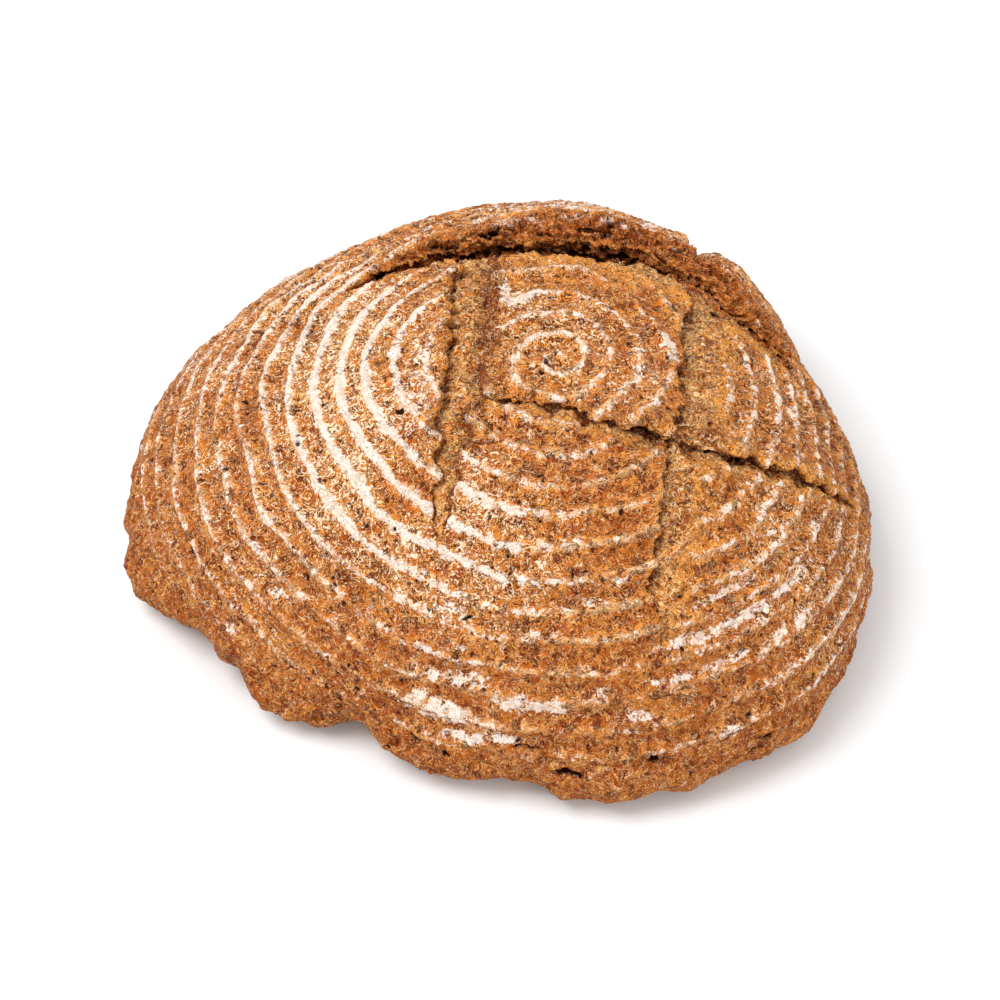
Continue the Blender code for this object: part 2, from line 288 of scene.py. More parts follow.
def dome_point(reach, facing):
    """Point on the smooth dome: reach runs from 0 at the crown to 1 at the widest line."""
    radius = reach * outline(facing)
    drift = 1 - reach**CROWN_DRIFT
    belly = BELLY_HEIGHT + HEEL_LIFT * facing_bump(facing, HEEL_FACING, HEEL_SPREAD)
    fall = np.clip(1 - reach**PLAN_ROUNDING, 0, 1) ** (1 / SIDE_ROUNDING)
    return np.stack(
        (
            radius * np.cos(facing) + CROWN_AT[0] * drift,
            radius * np.sin(facing) + CROWN_AT[1] * drift,
            belly + (CROWN_HEIGHT - belly) * fall,
        ),
        axis=-1,
    )


def belly_point(curl, facing):
    """Point below the widest line: curl runs from 0 there to 1 at the foot's edge on the table."""
    heel = facing_bump(facing, HEEL_FACING, HEEL_SPREAD)
    tuck = FOOT_TUCK + HEEL_TUCK * heel
    height = BELLY_HEIGHT + HEEL_LIFT * heel
    turn = curl * np.pi / 2
    radius = outline(facing) - tuck * (1 - np.cos(turn))
    return np.stack((radius * np.cos(facing), radius * np.sin(facing), height * (1 - np.sin(turn))), axis=-1)


def between(table, row, column, a, b):
    """The table's value a of the way to the next row and b of the way to the next column."""
    return (
        table[row, column] * (1 - a) * (1 - b)
        + table[row + 1, column] * a * (1 - b)
        + table[row, column + 1] * (1 - a) * b
        + table[row + 1, column + 1] * a * b
    )


class Travel:
    """Even steps over the skin: turns a share of the way down into a reach on the dome or a curl below it."""

    def __init__(self):
        self.facings = np.linspace(0, 2 * np.pi, 361)
        self.reach = 1 - (1 - np.linspace(0, 1, 500)) ** 1.6
        fine = dome_point(self.reach[:, None], self.facings)
        steps = np.linalg.norm(np.diff(fine, axis=0), axis=-1)
        self.along = np.vstack((np.zeros(len(self.facings)), np.cumsum(steps, axis=0)))
        shares = np.linspace(0, 1, 400)
        self.table = np.stack(
            [np.interp(shares * column[-1], column, self.reach) for column in self.along.T], axis=1
        )

    def length(self, facing):
        """Distance over the skin from the crown to the widest line."""
        return np.interp(facing % (2 * np.pi), self.facings, self.along[-1])

    def reach_at(self, share, facing):
        """Reach on the dome at this share of the way from the crown to the widest line."""
        row = np.clip(share, 0, 1) * (len(self.table) - 1)
        column = (facing % (2 * np.pi)) / (2 * np.pi) * (len(self.facings) - 1)
        low_row = np.minimum(row.astype(int), len(self.table) - 2)
        low_column = np.minimum(column.astype(int), len(self.facings) - 2)
        return between(self.table, low_row, low_column, row - low_row, column - low_column)


TRAVEL = Travel()


def dome_normal(reach, facing):
    step = 1e-4
    low = np.clip(reach - step, 1e-4, 0.9985)
    along = dome_point(low + 2 * step, facing) - dome_point(low, facing)
    across = dome_point(low + step, facing + step) - dome_point(low + step, facing - step)
    normal = np.cross(along, across)
    return normal / np.linalg.norm(normal, axis=-1, keepdims=True)


def foot_lumps(points, facing):
    height = 1 - smoothstep(points[..., 2], 0, LUMP_TOP)
    reach = sum(
        size * facing_bump(facing, math.radians(towards), math.radians(spread))
        for towards, spread, size in FOOT_LUMPS
    )
    return reach * height


def sideways(facing):
    return np.stack((np.cos(facing), np.sin(facing), np.zeros_like(facing)), axis=-1)


def measured_middle():
    """Middle of the smooth loaf's box, which the frame puts over the origin."""
    facing = np.linspace(0, 2 * np.pi, 1441)
    reaches = [TRAVEL.reach_at(np.full_like(facing, share), facing) for share in np.linspace(0.8, 1, 30)]
    rows = [dome_point(reach, facing) for reach in reaches]
    rows += [belly_point(curl, facing) for curl in np.linspace(0, 1, 30)]
    rows = [(row + sideways(facing) * foot_lumps(row, facing)[:, None])[:, :2] for row in rows]
    rows = np.concatenate(rows)
    return (rows.min(axis=0) + rows.max(axis=0)) / 2


MIDDLE = measured_middle() - (np.array(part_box("loaf")[0][:2]) + np.array(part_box("loaf")[1][:2])) / 2


# ---------------------------------------------------------------- noise fields


def field(points, size, seed, octaves, kind="fractal"):
    """Blender's solid noise at these points, where size is the width of its lumps in metres.

    Each use has a seed of its own, which shifts the noise, and octaves is how many finer layers it has.
    """
    shift = np.array((17.3, 5.1, 9.7)) * (seed + 1)
    places = (points / size + shift).tolist()
    if kind == "fractal":
        values = (noise.fractal(place, 0.7, 2.1, octaves) for place in places)
    else:  # ridged
        values = (noise.ridged_multi_fractal(place, 0.8, 2.1, octaves, 1.0, 2.0) - 1.2 for place in places)
    return np.fromiter(values, float, len(places))


def holes(places, size, keep, widest, seed):
    """Depths of round holes scattered one to a cell: a share keep of the cells holds one, of any width."""
    shift = np.array((11.1, 4.3, 7.9)) * (seed + 1)

    def depth(place):
        gaps, centres = noise.voronoi(place)
        luck = 0.5 + 0.5 * noise.cell((centres[0] + Vector(shift)) * 7.3)
        if luck > keep:
            return 0.0
        radius = widest * (0.35 + 0.65 * luck / keep)
        return math.sqrt(max(radius * radius - gaps[0] * gaps[0], 0.0))

    return size * np.fromiter(map(depth, (places / size + shift).tolist()), float, len(places))


# ---------------------------------------------------------------- the cuts


def curve_through(keys, count):
    """Evenly parameterised Catmull-Rom curve through rows of numbers."""
    keys = np.array(keys, float)
    at = np.linspace(0, len(keys) - 1, count)
    padded = np.vstack((2 * keys[0] - keys[1], keys, 2 * keys[-1] - keys[-2]))
    first = np.clip(at.astype(int), 0, len(keys) - 2)
    share = (at - first)[:, None]
    a, b, c, d = (padded[first + offset] for offset in range(4))
    return 0.5 * (
        2 * b + (c - a) * share + (2 * a - 5 * b + 4 * c - d) * share**2 + (3 * b - a - 3 * c + d) * share**3
    )


def reach_over(plan):
    """The reach and facing of the dome point above a plan position, by repeated substitution."""
    reach = np.full(plan.shape[:-1], 0.5)
    for _ in range(12):
        from_centre = plan - CROWN_AT * (1 - reach**CROWN_DRIFT)[..., None]
        facing = np.arctan2(from_centre[..., 1], from_centre[..., 0])
        reach = np.clip(np.linalg.norm(from_centre, axis=-1) / outline(facing), 1e-6, 1)
    return reach, facing


class Cut:
    """One cut: where it runs over the dome, and a table of its section at every station along it."""

    ACROSS_STEPS = 320

    def __init__(self, name, line, sections):
        self.name = name
        self.spread = CUT_SPREAD[name]
        stations = curve_through(line, STATIONS)
        reach, facing = reach_over(stations[:, :2])
        self.places = dome_point(reach, facing)
        self.normals = dome_normal(reach, facing)
        along = np.gradient(self.places, axis=0)
        self.along = along / np.linalg.norm(along, axis=1, keepdims=True)
        left = np.cross(self.normals, self.along)
        self.left = left / np.linalg.norm(left, axis=1, keepdims=True)
        self.run = np.concatenate(((0,), np.cumsum(np.linalg.norm(np.diff(self.places, axis=0), axis=1))))
        self.half = stations[:, 2]
        self.fullness = np.clip(self.half / self.half.max(), 0, 1)
        at = [section[0] for section in sections]
        keys = np.array([section[1:] for section in sections], float)
        rows = []
        for share, half, fullness in zip(np.linspace(0, 1, STATIONS), self.half, self.fullness):
            low = min(max(np.searchsorted(at, share) - 1, 0), max(len(at) - 2, 0))
            high = min(low + 1, len(at) - 1)
            blend = smoothstep(share, at[low], at[high]) if high > low else 0.0
            rows.append(self.section_row(keys[low] * (1 - blend) + keys[high] * blend, half, fullness))
        self.table = np.stack(rows)
        self.way = np.linalg.norm(np.diff(self.table[:, :, :2], axis=1), axis=2).sum(axis=1)

    def section_row(self, keys, half, fullness):
        """The section at one station, in even steps over the skin from its right end to its left."""
        across = keys[:, 0] * half + keys[:, 1] * fullness
        middle = np.stack((across, keys[:, 2] * fullness, *keys[:, 3:].T), axis=1)
        keys = np.vstack(((-self.spread, 0, 0, 0), middle, (self.spread, 0, 0, 0)))
        steps = np.linalg.norm(np.diff(keys[:, :2], axis=0), axis=1) + 1e-9
        way = np.concatenate(((0,), np.cumsum(steps)))
        even = np.linspace(0, way[-1], self.ACROSS_STEPS)
        row = np.stack([np.interp(even, way, column) for column in keys.T], axis=1)
        # The corners of the section are rounded by a running mean, which leaves its two ends in place.
        for _ in range(2):
            row[1:-1] = (row[:-2] + row[1:-1] + row[2:]) / 3
        return row

    def near_station(self, points):
        """The station beside each point, the share of the way to the next one, and how far the cut counts."""
        nearest = np.empty(len(points), int)
        for start in range(0, len(points), POINTS_AT_ONCE):
            some = slice(start, start + POINTS_AT_ONCE)
            nearest[some] = ((points[some, None, :] - self.places) ** 2).sum(axis=-1).argmin(axis=1)
        beyond = ((points - self.places[nearest]) * self.along[nearest]).sum(axis=1)
        step = self.run[-1] / (STATIONS - 1)
        station = np.clip(nearest + beyond / step, 0, STATIONS - 1)
        low = np.minimum(station.astype(int), STATIONS - 2)
        past = np.maximum(-nearest * step - beyond, nearest * step + beyond - self.run[-1])
        return low, (station - low)[:, None], np.exp(-((np.clip(past, 0, 1) / 0.004) ** 2))

    def open(self, points):
        """Shift vectors, crumb, scorching and painted shade, way across and way along for dome points near
        this cut.
        """
        low, a, within = self.near_station(points)
        left = self.left[low] * (1 - a) + self.left[low + 1] * a
        away = points - self.places[low] * (1 - a) - self.places[low + 1] * a
        across = (away * left).sum(axis=1)
        half = self.half[low] * (1 - a[:, 0]) + self.half[low + 1] * a[:, 0]
        fullness = (self.fullness[low] * (1 - a[:, 0]) + self.fullness[low + 1] * a[:, 0]) * within
        near = np.abs(across) < self.spread
        moved = across + self.ragged(points - left * (0.85 * across)[:, None], across, half, fullness)
        column = np.clip((moved + self.spread) / (2 * self.spread), 0, 1) * (self.ACROSS_STEPS - 1)
        low_column = np.minimum(column.astype(int), self.ACROSS_STEPS - 2)
        found = between(self.table, low, low_column, a, (column - low_column)[:, None])
        found[~near] = 0
        # Crust near the cut was pushed aside by it, so the coil is read from where the crust was.
        pushed = -half * within * np.sign(across) * np.clip(1 - (np.abs(across) - half) / 0.09, 0, 1)
        shown = smoothstep(fullness, 0.03, 0.2)
        return dict(
            slide=np.where(near, found[:, 0] - moved, 0) * within,
            up=found[:, 1] * within,
            crumb=found[:, 2] * shown,
            scorch_and_shade=found[:, 3] * shown,
            left=left,
            pushed=pushed,
            across=across,
            fullness=fullness,
            run=(low + a[:, 0]) * self.run[-1] / (STATIONS - 1),
            way=column * self.way[low] / (self.ACROSS_STEPS - 1),
        )

    def ragged(self, places, across, half, fullness):
        """How far each side of the cut is torn to one side or the other, which differs along the cut."""
        close = np.abs(across) < half + 0.016
        torn = np.zeros(len(places))
        side = smoothstep(across[close], -0.3 * half.max(), 0.3 * half.max())
        right = field(places[close], 0.0085, 1, 4) + 0.09 * field(places[close], 0.0024, 26, 2, "ridged")
        left = field(places[close], 0.0085, 27, 4) + 0.09 * field(places[close], 0.0024, 28, 2, "ridged")
        torn[close] = right * (1 - side) + left * side
        fade = np.exp(-((np.clip(np.abs(across) - half - 0.002, 0, 1) / 0.006) ** 2))
        return CUT_RAGGED[self.name] * torn * fade * smoothstep(fullness, 0.0, 0.5)


CUT_OBJECTS = {name: Cut(name, cut["line"], cut["sections"]) for name, cut in CUTS.items()}


# ---------------------------------------------------------------- the parted skin


def skin(share, curl, facing):
    """The parted but still smooth skin, and what is known about each of its points.

    share is the way down the dome, curl the way below its widest line, and facing the direction.
    """
    shape = share.shape
    share, curl, facing = share.ravel(), curl.ravel(), facing.ravel()
    reach = TRAVEL.reach_at(share, facing)
    on_dome = dome_point(reach, facing)
    points = np.where((curl > 0)[:, None], belly_point(curl, facing), on_dome)
    points += sideways(facing) * foot_lumps(points, facing)[:, None]
    normals = dome_normal(reach, facing)
    travel = share * TRAVEL.length(facing)
    near = (share < CUTS_END) & (curl <= 0)
    crumb = np.zeros(len(share))
    scorch_and_shade = np.zeros(len(share))
    slide = np.zeros((len(share), 3))
    rise = np.zeros(len(share))
    sink = np.zeros(len(share))
    outward = sideways(facing)
    sheets = np.zeros((len(share), 2))
    torn = np.zeros(len(share))
    for name, cut in CUT_OBJECTS.items():
        opened = cut.open(on_dome[near])
        slide[near] += opened["left"] * opened["slide"][:, None]
        rise[near] = np.maximum(rise[near], opened["up"])
        sink[near] = np.minimum(sink[near], opened["up"])
        crumb[near] = np.maximum(crumb[near], opened["crumb"])
        scorch_and_shade[near] = np.maximum(scorch_and_shade[near], opened["scorch_and_shade"])
        travel[near] += opened["pushed"] * (opened["left"] * outward[near]).sum(axis=1)
        if name == "rear":
            sheets[near] = np.stack((opened["run"], opened["way"]), axis=1)
            torn[near] = smoothstep(opened["fullness"], 0.1, 0.4) * smoothstep(opened["scorch_and_shade"], 0.15, 0.35)
            torn[near] *= smoothstep(opened["across"], -0.002, 0.002)
    # Where one cut runs into another, its floor wins over the other's raised edge.
    height = np.where(sink < -0.0008, sink, rise + sink)
    step = smoothstep(points[:, 0], STEP_AT - STEP_BLUR, STEP_AT + STEP_BLUR)
    step *= 1 - smoothstep(points[:, 0], STEP_AT + STEP_FLAT, STEP_END)
    behind = smoothstep(points[:, 1], STEP_FROM - STEP_END_BLUR, STEP_FROM + STEP_END_BLUR)
    height = height - STEP_DROP * step * behind
    for x, y, spread, rising in SWELLINGS:
        away = np.hypot(points[:, 0] - x, points[:, 1] - y) / spread
        height = height + rising * np.exp(-(away**2))
    opened_points = points + slide + normals * height[:, None]
    opened_points[:, :2] -= MIDDLE
    known = dict(
        travel=travel,
        facing=facing,
        crumb=crumb,
        scorch_and_shade=scorch_and_shade,
        height=height,
        share=share,
        sheets=sheets,
        torn=torn,
    )
    known = {key: value.reshape(*shape, *value.shape[1:]) for key, value in known.items()}
    return opened_points.reshape(*shape, 3), known


def grid_normals(points, wrap=False):
    """Unit normals of a grid of points, with rows running down the loaf and columns to the left."""
    down = np.gradient(points, axis=0)
    if wrap:
        around = (np.roll(points, -1, axis=1) - np.roll(points, 1, axis=1)) / 2
    else:
        around = np.gradient(points, axis=1)
    normals = np.cross(down, around)
    return normals / np.maximum(np.linalg.norm(normals, axis=-1, keepdims=True), 1e-12)


# ---------------------------------------------------------------- the grain of the skin


def curled(places, size, reach):
    """Places pushed about by a swirling noise, so that what is drawn from them curls."""
    shift = np.array((3.7, 8.1, 1.9))
    swirl = np.array([noise.noise_vector(place) for place in (places / size + shift).tolist()])
    return places + reach * swirl


def torn_sheets(know, places, swirled):
    """The torn face under the rear lip: ragged sheets that overlap like slates, and gashes between them."""
    run, way = know["sheets"].T
    crumple = field(places, 0.010, 16, 3)
    waves = field(np.stack((run / 0.022, way / 0.020, 0.5 * crumple), axis=1), 1.0, 17, 3)
    slate = way / 0.0046 + 0.9 * waves
    slate += 0.35 * crumple
    layers = 0.5 - (slate - np.floor(slate)) ** 1.3 + 0.35 * field(swirled, 0.0040, 24, 3, "ridged")
    gashes = field(np.stack((run / 0.009, way / 0.0030, crumple), axis=1), 1.0, 25, 2)
    return layers, np.clip(gashes - 0.20, 0, 1)


def press_holes(places, swirled, fine, pits, pores):
    """Presses the listed holes into the relief, and marks them as pits and pores."""
    for x, y, z, radius in HOLES:
        gap = np.linalg.norm(places - (x, y, z), axis=1)
        close = gap < 0.012
        if gap.min() < 0.004:
            at = places[gap.argmin()]
            off = places[close] - at + 1.6 * (swirled[close] - places[close])
            # Holes are longer along x, and those low on the side are flat.
            gap = np.linalg.norm(off * (0.75, 1.0, 1.9 if z < 0.04 else 1.0), axis=1)
            dent = np.clip(1 - (gap / radius) ** 2, 0, 1)
            fine[close] -= HOLE_DEPTH * radius * dent
            mark = 0.0012 * smoothstep(dent, 0.0, 0.35)
            pits[close] = np.maximum(pits[close], mark)
            pores[close] = np.maximum(pores[close], mark)


def foot_relief(know, places):
    """Ledges and lobes of the skin close to the table."""
    skirt = smoothstep(know["share"], 0.90, 0.99) * (places[:, 2] > 0.0005)
    ledges = np.stack((know["facing"] * 0.12 / 0.020, places[:, 2] / 0.0045, np.zeros(len(places))), axis=1)
    ledges = field(ledges + 0.4 * field(places, 0.012, 18, 2)[:, None], 1.0, 19, 3, "ridged")
    lobes = np.abs(field(places, 0.019, 30, 2))
    return skirt * (LEDGE_RELIEF * ledges + LOBE_RELIEF * (lobes - 0.25))


def roughened(points, normals, known):
    """Moves the parted skin's points by its ridges, bran, blisters and torn crumb."""
    shape = points.shape[:-1]
    places = points.reshape(-1, 3)
    faces = normals.reshape(-1, 3)
    know = {key: value.reshape(len(places), *value.shape[len(shape) :]) for key, value in known.items()}
    crust = 1 - know["crumb"]
    wander = field(places, 0.030, 2, 2)
    coil = 2 * np.pi * (know["travel"] + 0.0021 * wander) / COIL_PITCH - know["facing"]
    phase = (coil + np.pi) % (2 * np.pi) - np.pi
    crest = np.exp(-((phase / 0.8) ** 2))
    fade = 1 - smoothstep(know["share"], 0.88, 0.99)
    ridge_strength = np.clip(0.80 + 0.7 * field(places, 0.040, 3, 2), 0.2, 1.3) * fade
    relief = COIL_RELIEF * (0.45 * np.cos(coil) + 0.55 * crest) * ridge_strength * crust
    lumps = LUMP_RELIEF * field(places, 0.026, 4, 3)
    blisters = BLISTER_RELIEF * field(places, 0.0080, 5, 3)
    swirled = curled(places, 0.0030, 0.0011)
    bran = 0.55 - 2.0 * np.abs(field(swirled, 0.0032, 6, 2))
    grit = field(swirled, 0.0012, 7, 2)
    pits = holes(swirled, 0.0046, 0.10, 0.20, 8)
    pores = holes(swirled, 0.0034, 0.42, 0.32, 9)
    torn = field(swirled, 0.0045, 10, 4, "ridged")
    bulges = field(places, 0.0090, 15, 2)
    crust_relief = lumps + blisters + BRAN_RELIEF * bran + GRIT_RELIEF * grit - PIT_DEPTH * pits
    crumb_relief = CRUMB_BULGES * bulges + CRUMB_TEARS * torn + CRUMB_BRAN * bran + GRIT_RELIEF * grit
    crumb_relief -= PORE_DEPTH * pores
    layers, gashes = torn_sheets(know, places, swirled)
    crumb_relief = np.where(know["torn"] > 0, crumb_relief * 0.5, crumb_relief)
    fine = crust_relief * crust + crumb_relief * know["crumb"]
    fine += know["torn"] * (SHEET_RELIEF * layers - GASH_DEPTH * gashes)
    press_holes(places, swirled, fine, pits, pores)
    fine += foot_relief(know, places)
    moved = places + faces * (relief + fine)[:, None]
    moved[:, 2] = np.maximum(moved[:, 2], 0)
    flour, dust = flour_share(places, know, phase)
    # Painted shade: this mask falls in creases, pits, pores, the torn face's gashes and deep in the cuts, and
    # the crust's colour is painted dark where it is low.
    creases = 0.36 * bran + 0.20 * grit - 700 * pits
    pockets = 0.4 * torn + 0.3 * bran + 0.2 * grit - 900 * pores + know["torn"] * (1.2 * layers - 5 * gashes)
    buried_shade = smoothstep(-know["height"], 0.0040, 0.0082) * know["crumb"]
    buried_shade *= np.clip(0.62 + 1.8 * field(places, 0.0060, 34, 3), 0, 1)
    cavity_shade = np.clip(0.55 + creases * crust + pockets * know["crumb"] * 0.6 - 0.7 * buried_shade, 0, 1)
    # Painted highlight and painted shade: the crust is painted paler on each ridge's crest and darker between
    # ridges.
    ridge = np.exp(-((phase / 1.05) ** 2)) * crust * ridge_strength
    ridge *= 0.8 + 1.1 * field(places, 0.0032, 33, 2)
    dressed = dict(
        flour=flour,
        dust=dust,
        crumb=know["crumb"],
        scorch_and_shade=know["scorch_and_shade"],
        cavity_shade=cavity_shade,
        ridge=ridge,
        torn=know["torn"],
    )
    return moved.reshape(*shape, 3), {key: value.reshape(shape) for key, value in dressed.items()}


# Where flour from the basket still lies thickly: x, y, spread and amount.
FLOUR_SPOTS = (
    (-0.056, 0.037, 0.02, 0.75), (-0.05, 0.01, 0.024, 0.95), (-0.049, -0.022, 0.024, 1),
    (-0.041, -0.05, 0.02, 0.95), (-0.018, -0.07, 0.018, 0.85), (0.004, -0.08, 0.017, 0.6),
    (-0.002, -0.06, 0.014, 0.45), (0.01, 0.012, 0.009, 0.75), (0.007, -0.005, 0.008, 0.55),
    (0.046, -0.022, 0.007, 0.5), (0.02, -0.016, 0.03, 0.42), (0.09, -0.006, 0.019, 0.5),
    (-0.089, -0.035, 0.017, 0.42), (-0.075, -0.058, 0.013, 0.45), (-0.085, 0.02, 0.03, 0.45),
    (0.02, 0.08, 0.05, 0.3), (0.098, -0.06, 0.034, 0.34), (0.076, -0.012, 0.013, 0.38),
)

# Clumps and streaks of flour that stand apart from the ridges: x, y, z, half-length, half-width, heading in
# degrees and amount.
FLOUR_STREAKS = (
    (-0.012, -0.106, 0.044, 0.0131, 0.0024, -18, 0.8), (-0.006, -0.113, 0.042, 0.008, 0.0024, -12, 0.85),
    (-0.019, -0.109, 0.033, 0.0124, 0.0037, -18, 1), (0.009, -0.114, 0.041, 0.0162, 0.0028, -2, 0.95),
    (-0.01, -0.116, 0.026, 0.0064, 0.0021, -17, 1), (0.002, -0.118, 0.029, 0.0071, 0.0021, -5, 0.9),
    (-0.028, -0.11, 0.019, 0.0013, 0.0015, -29, 0.8), (0.034, -0.113, 0.047, 0.0026, 0.0015, -11, 0.55),
    (0.045, -0.117, 0.039, 0.0055, 0.0021, -9, 0.8), (0.055, -0.109, 0.048, 0.009, 0.0017, 14, 0.8),
    (0.059, -0.101, 0.057, 0.0082, 0.0019, 21, 0.95), (0.077, -0.092, 0.057, 0.0146, 0.0019, 33, 1),
    (0.073, -0.102, 0.049, 0.0083, 0.0013, 27, 0.7), (0.089, -0.092, 0.047, 0.0055, 0.0017, 48, 0.7),
    (0.097, -0.083, 0.046, 0.0047, 0.0019, 54, 0.8), (0.096, -0.093, 0.037, 0.0114, 0.0013, 46, 0.75),
    (0.106, -0.087, 0.026, 0.0081, 0.0019, 56, 0.95), (0.111, -0.075, 0.033, 0.009, 0.001, 65, 0.7),
    (0.074, -0.114, 0.028, 0.0041, 0.0021, 35, 0.85), (0.081, -0.109, 0.029, 0.0043, 0.0013, 31, 0.6),
    (-0.015, -0.092, 0.06, 0.0056, 0.0019, -22, 0.75), (0.002, -0.095, 0.064, 0.0074, 0.0011, -19, 0.5),
    (0.02, -0.096, 0.066, 0.0021, 0.0017, -29, 0.8), (0.016, -0.102, 0.06, 0.0068, 0.0015, -12, 0.65),
    (-0.012, -0.1, 0.052, 0.0025, 0.0013, -39, 0.6), (0.031, -0.095, 0.068, 0.0062, 0.0013, -6, 0.6),
    (0.072, -0.087, 0.064, 0.0141, 0.0013, 31, 0.75), (0.093, -0.076, 0.056, 0.0124, 0.0019, 49, 1),
    (0.087, -0.066, 0.067, 0.0131, 0.0013, 42, 0.7), (0.101, -0.056, 0.058, 0.0103, 0.0013, 61, 0.6),
    (0.105, -0.034, 0.058, 0.002, 0.0015, -29, 0.8), (0.098, -0.031, 0.066, 0.0022, 0.0013, -37, 0.75),
    (0.089, -0.032, 0.074, 0.0025, 0.0015, -38, 0.85), (0.096, -0.014, 0.068, 0.0026, 0.0013, -48, 0.8),
    (0.079, -0.028, 0.081, 0.003, 0.0022, -44, 0.6), (0.056, -0.008, 0.09, 0.0062, 0.0026, -71, 1),
    (-0.068, -0.076, 0.048, 0.0038, 0.0019, -45, 0.9), (-0.077, -0.078, 0.036, 0.0048, 0.0011, -57, 0.7),
    (-0.085, -0.076, 0.029, 0.0064, 0.0015, -66, 0.6), (0.003, 0.018, 0.092, 0.0105, 0.0026, -78, 0.7),
    (-0.024, -0.025, 0.091, 0.0353, 0.0037, -91, 0.5), (0.078, -0.055, 0.076, 0.014, 0.0014, 35, 0.6),
    (0.092, -0.046, 0.07, 0.012, 0.0014, 48, 0.6), (0.1, -0.066, 0.058, 0.012, 0.0014, 56, 0.65),
    (0.07, -0.075, 0.07, 0.014, 0.0016, 26, 0.6), (0.038, -0.09, 0.072, 0.0062, 0.0015, 14, 0.6),
)


def flour_share(places, know, phase):
    """Where flour from the basket still lies: a crisp line on each ridge with a softer dusting inside it."""
    patchy = field(places, 0.016, 11, 3)
    broken = field(places, 0.0034, 12, 3)
    front = smoothstep(np.hypot(places[:, 0] + 0.050, places[:, 1]), 0.060, 0.105)
    wealth = 0.26 - 0.21 * front
    for x, y, spread, amount in FLOUR_SPOTS:
        away = np.hypot(places[:, 0] - x, places[:, 1] - y)
        wealth = np.maximum(wealth, amount * np.exp(-((away / spread) ** 2) * 0.6))
    strayed = phase - 0.1 + (0.70 - 0.45 * wealth) * field(places, 0.0060, 29, 3)
    line = np.exp(-((np.abs(strayed) / (0.80 + 0.50 * wealth)) ** 3))
    dusting = smoothstep(phase, -2.6, 0.0) * (1 - smoothstep(phase, 0.3, 0.9))
    level = line * (0.20 + 0.85 * wealth) + (0.45 * dusting + 0.30 * patchy * line) * wealth
    level += (0.18 + 0.90 * front) * broken * (0.10 + 0.3 * wealth + line * (0.2 + wealth))
    edges = 0.45 * field(places, 0.0050, 32, 3)
    streaks = np.zeros(len(places))
    for x, y, z, half, breadth, heading, amount in FLOUR_STREAKS:
        off = places - (x, y, z)
        along = off[:, 0] * math.cos(math.radians(heading)) + off[:, 1] * math.sin(math.radians(heading))
        across = np.sqrt(np.maximum((off**2).sum(axis=1) - along**2, 0))
        away = np.hypot(along / (half + 0.001), across / breadth) + edges
        streaks = np.maximum(streaks, amount * (1 - smoothstep(away, 0.30, 1.70)))
    level = np.maximum(level, streaks * (0.95 + 0.9 * broken))
    kept = (1 - smoothstep(know["share"], 0.93, 1.0)) * (1 - smoothstep(know["crumb"], 0.1, 0.5))
    return np.clip(level, 0, 1.2) * kept, np.clip((wealth + 0.4 * streaks) * (1.0 + patchy), 0, 1) * kept


# ---------------------------------------------------------------- the pieces of skin


def finished_piece(name, mesh, material):
    """Hands one piece of skin to the frame: it rides the loaf's body and stands in for its node."""
    obj = bpy.data.objects.new(name, mesh)
    bpy.context.scene.collection.objects.link(obj)
    mesh.materials.append(material)
    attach(obj, "root")
    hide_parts("loaf")


def dressed_piece(name, points, normals, dressed, material, turn=False):
    """A bmesh grid laid over a rectangle of skin points, with its attributes and its exact normals."""
    rows, columns = points.shape[:2]
    bm = bmesh.new()
    bmesh.ops.create_grid(bm, x_segments=columns - 1, y_segments=rows - 1, size=1)
    if turn:
        bmesh.ops.reverse_faces(bm, faces=bm.faces)
    mesh = bpy.data.meshes.new(name)
    bm.to_mesh(mesh)
    bm.free()
    mesh.vertices.foreach_set("co", points.reshape(-1).astype(np.float32))
    for key, values in dressed.items():
        layer = mesh.attributes.new(key, "FLOAT", "POINT")
        layer.data.foreach_set("value", values.reshape(-1).astype(np.float32))
    mesh.update()
    mesh.shade_smooth()
    mesh.normals_split_custom_set_from_vertices(normals.reshape(-1, 3).tolist())
    finished_piece(name, mesh, material)


def disc_grid(cells):
    """Share and facing over a square grid bent into a disc, whose rim has four times cells points."""
    line = np.linspace(-1, 1, cells + 1)
    v, u = np.meshgrid(line, line, indexing="ij")
    return bent_square(u, v)


def bent_square(u, v):
    """Share and facing on a disc for places u, v on a square that reaches from -1 to 1."""
    flat = np.abs(u) >= np.abs(v)
    with np.errstate(divide="ignore", invalid="ignore"):
        angle = np.where(flat, np.pi / 4 * v / u, np.pi / 2 - np.pi / 4 * u / v)
    size = np.where(flat, u, v)
    angle = np.where(size < 0, angle + np.pi, angle)
    angle[size == 0] = 0
    return np.abs(size), angle % (2 * np.pi)


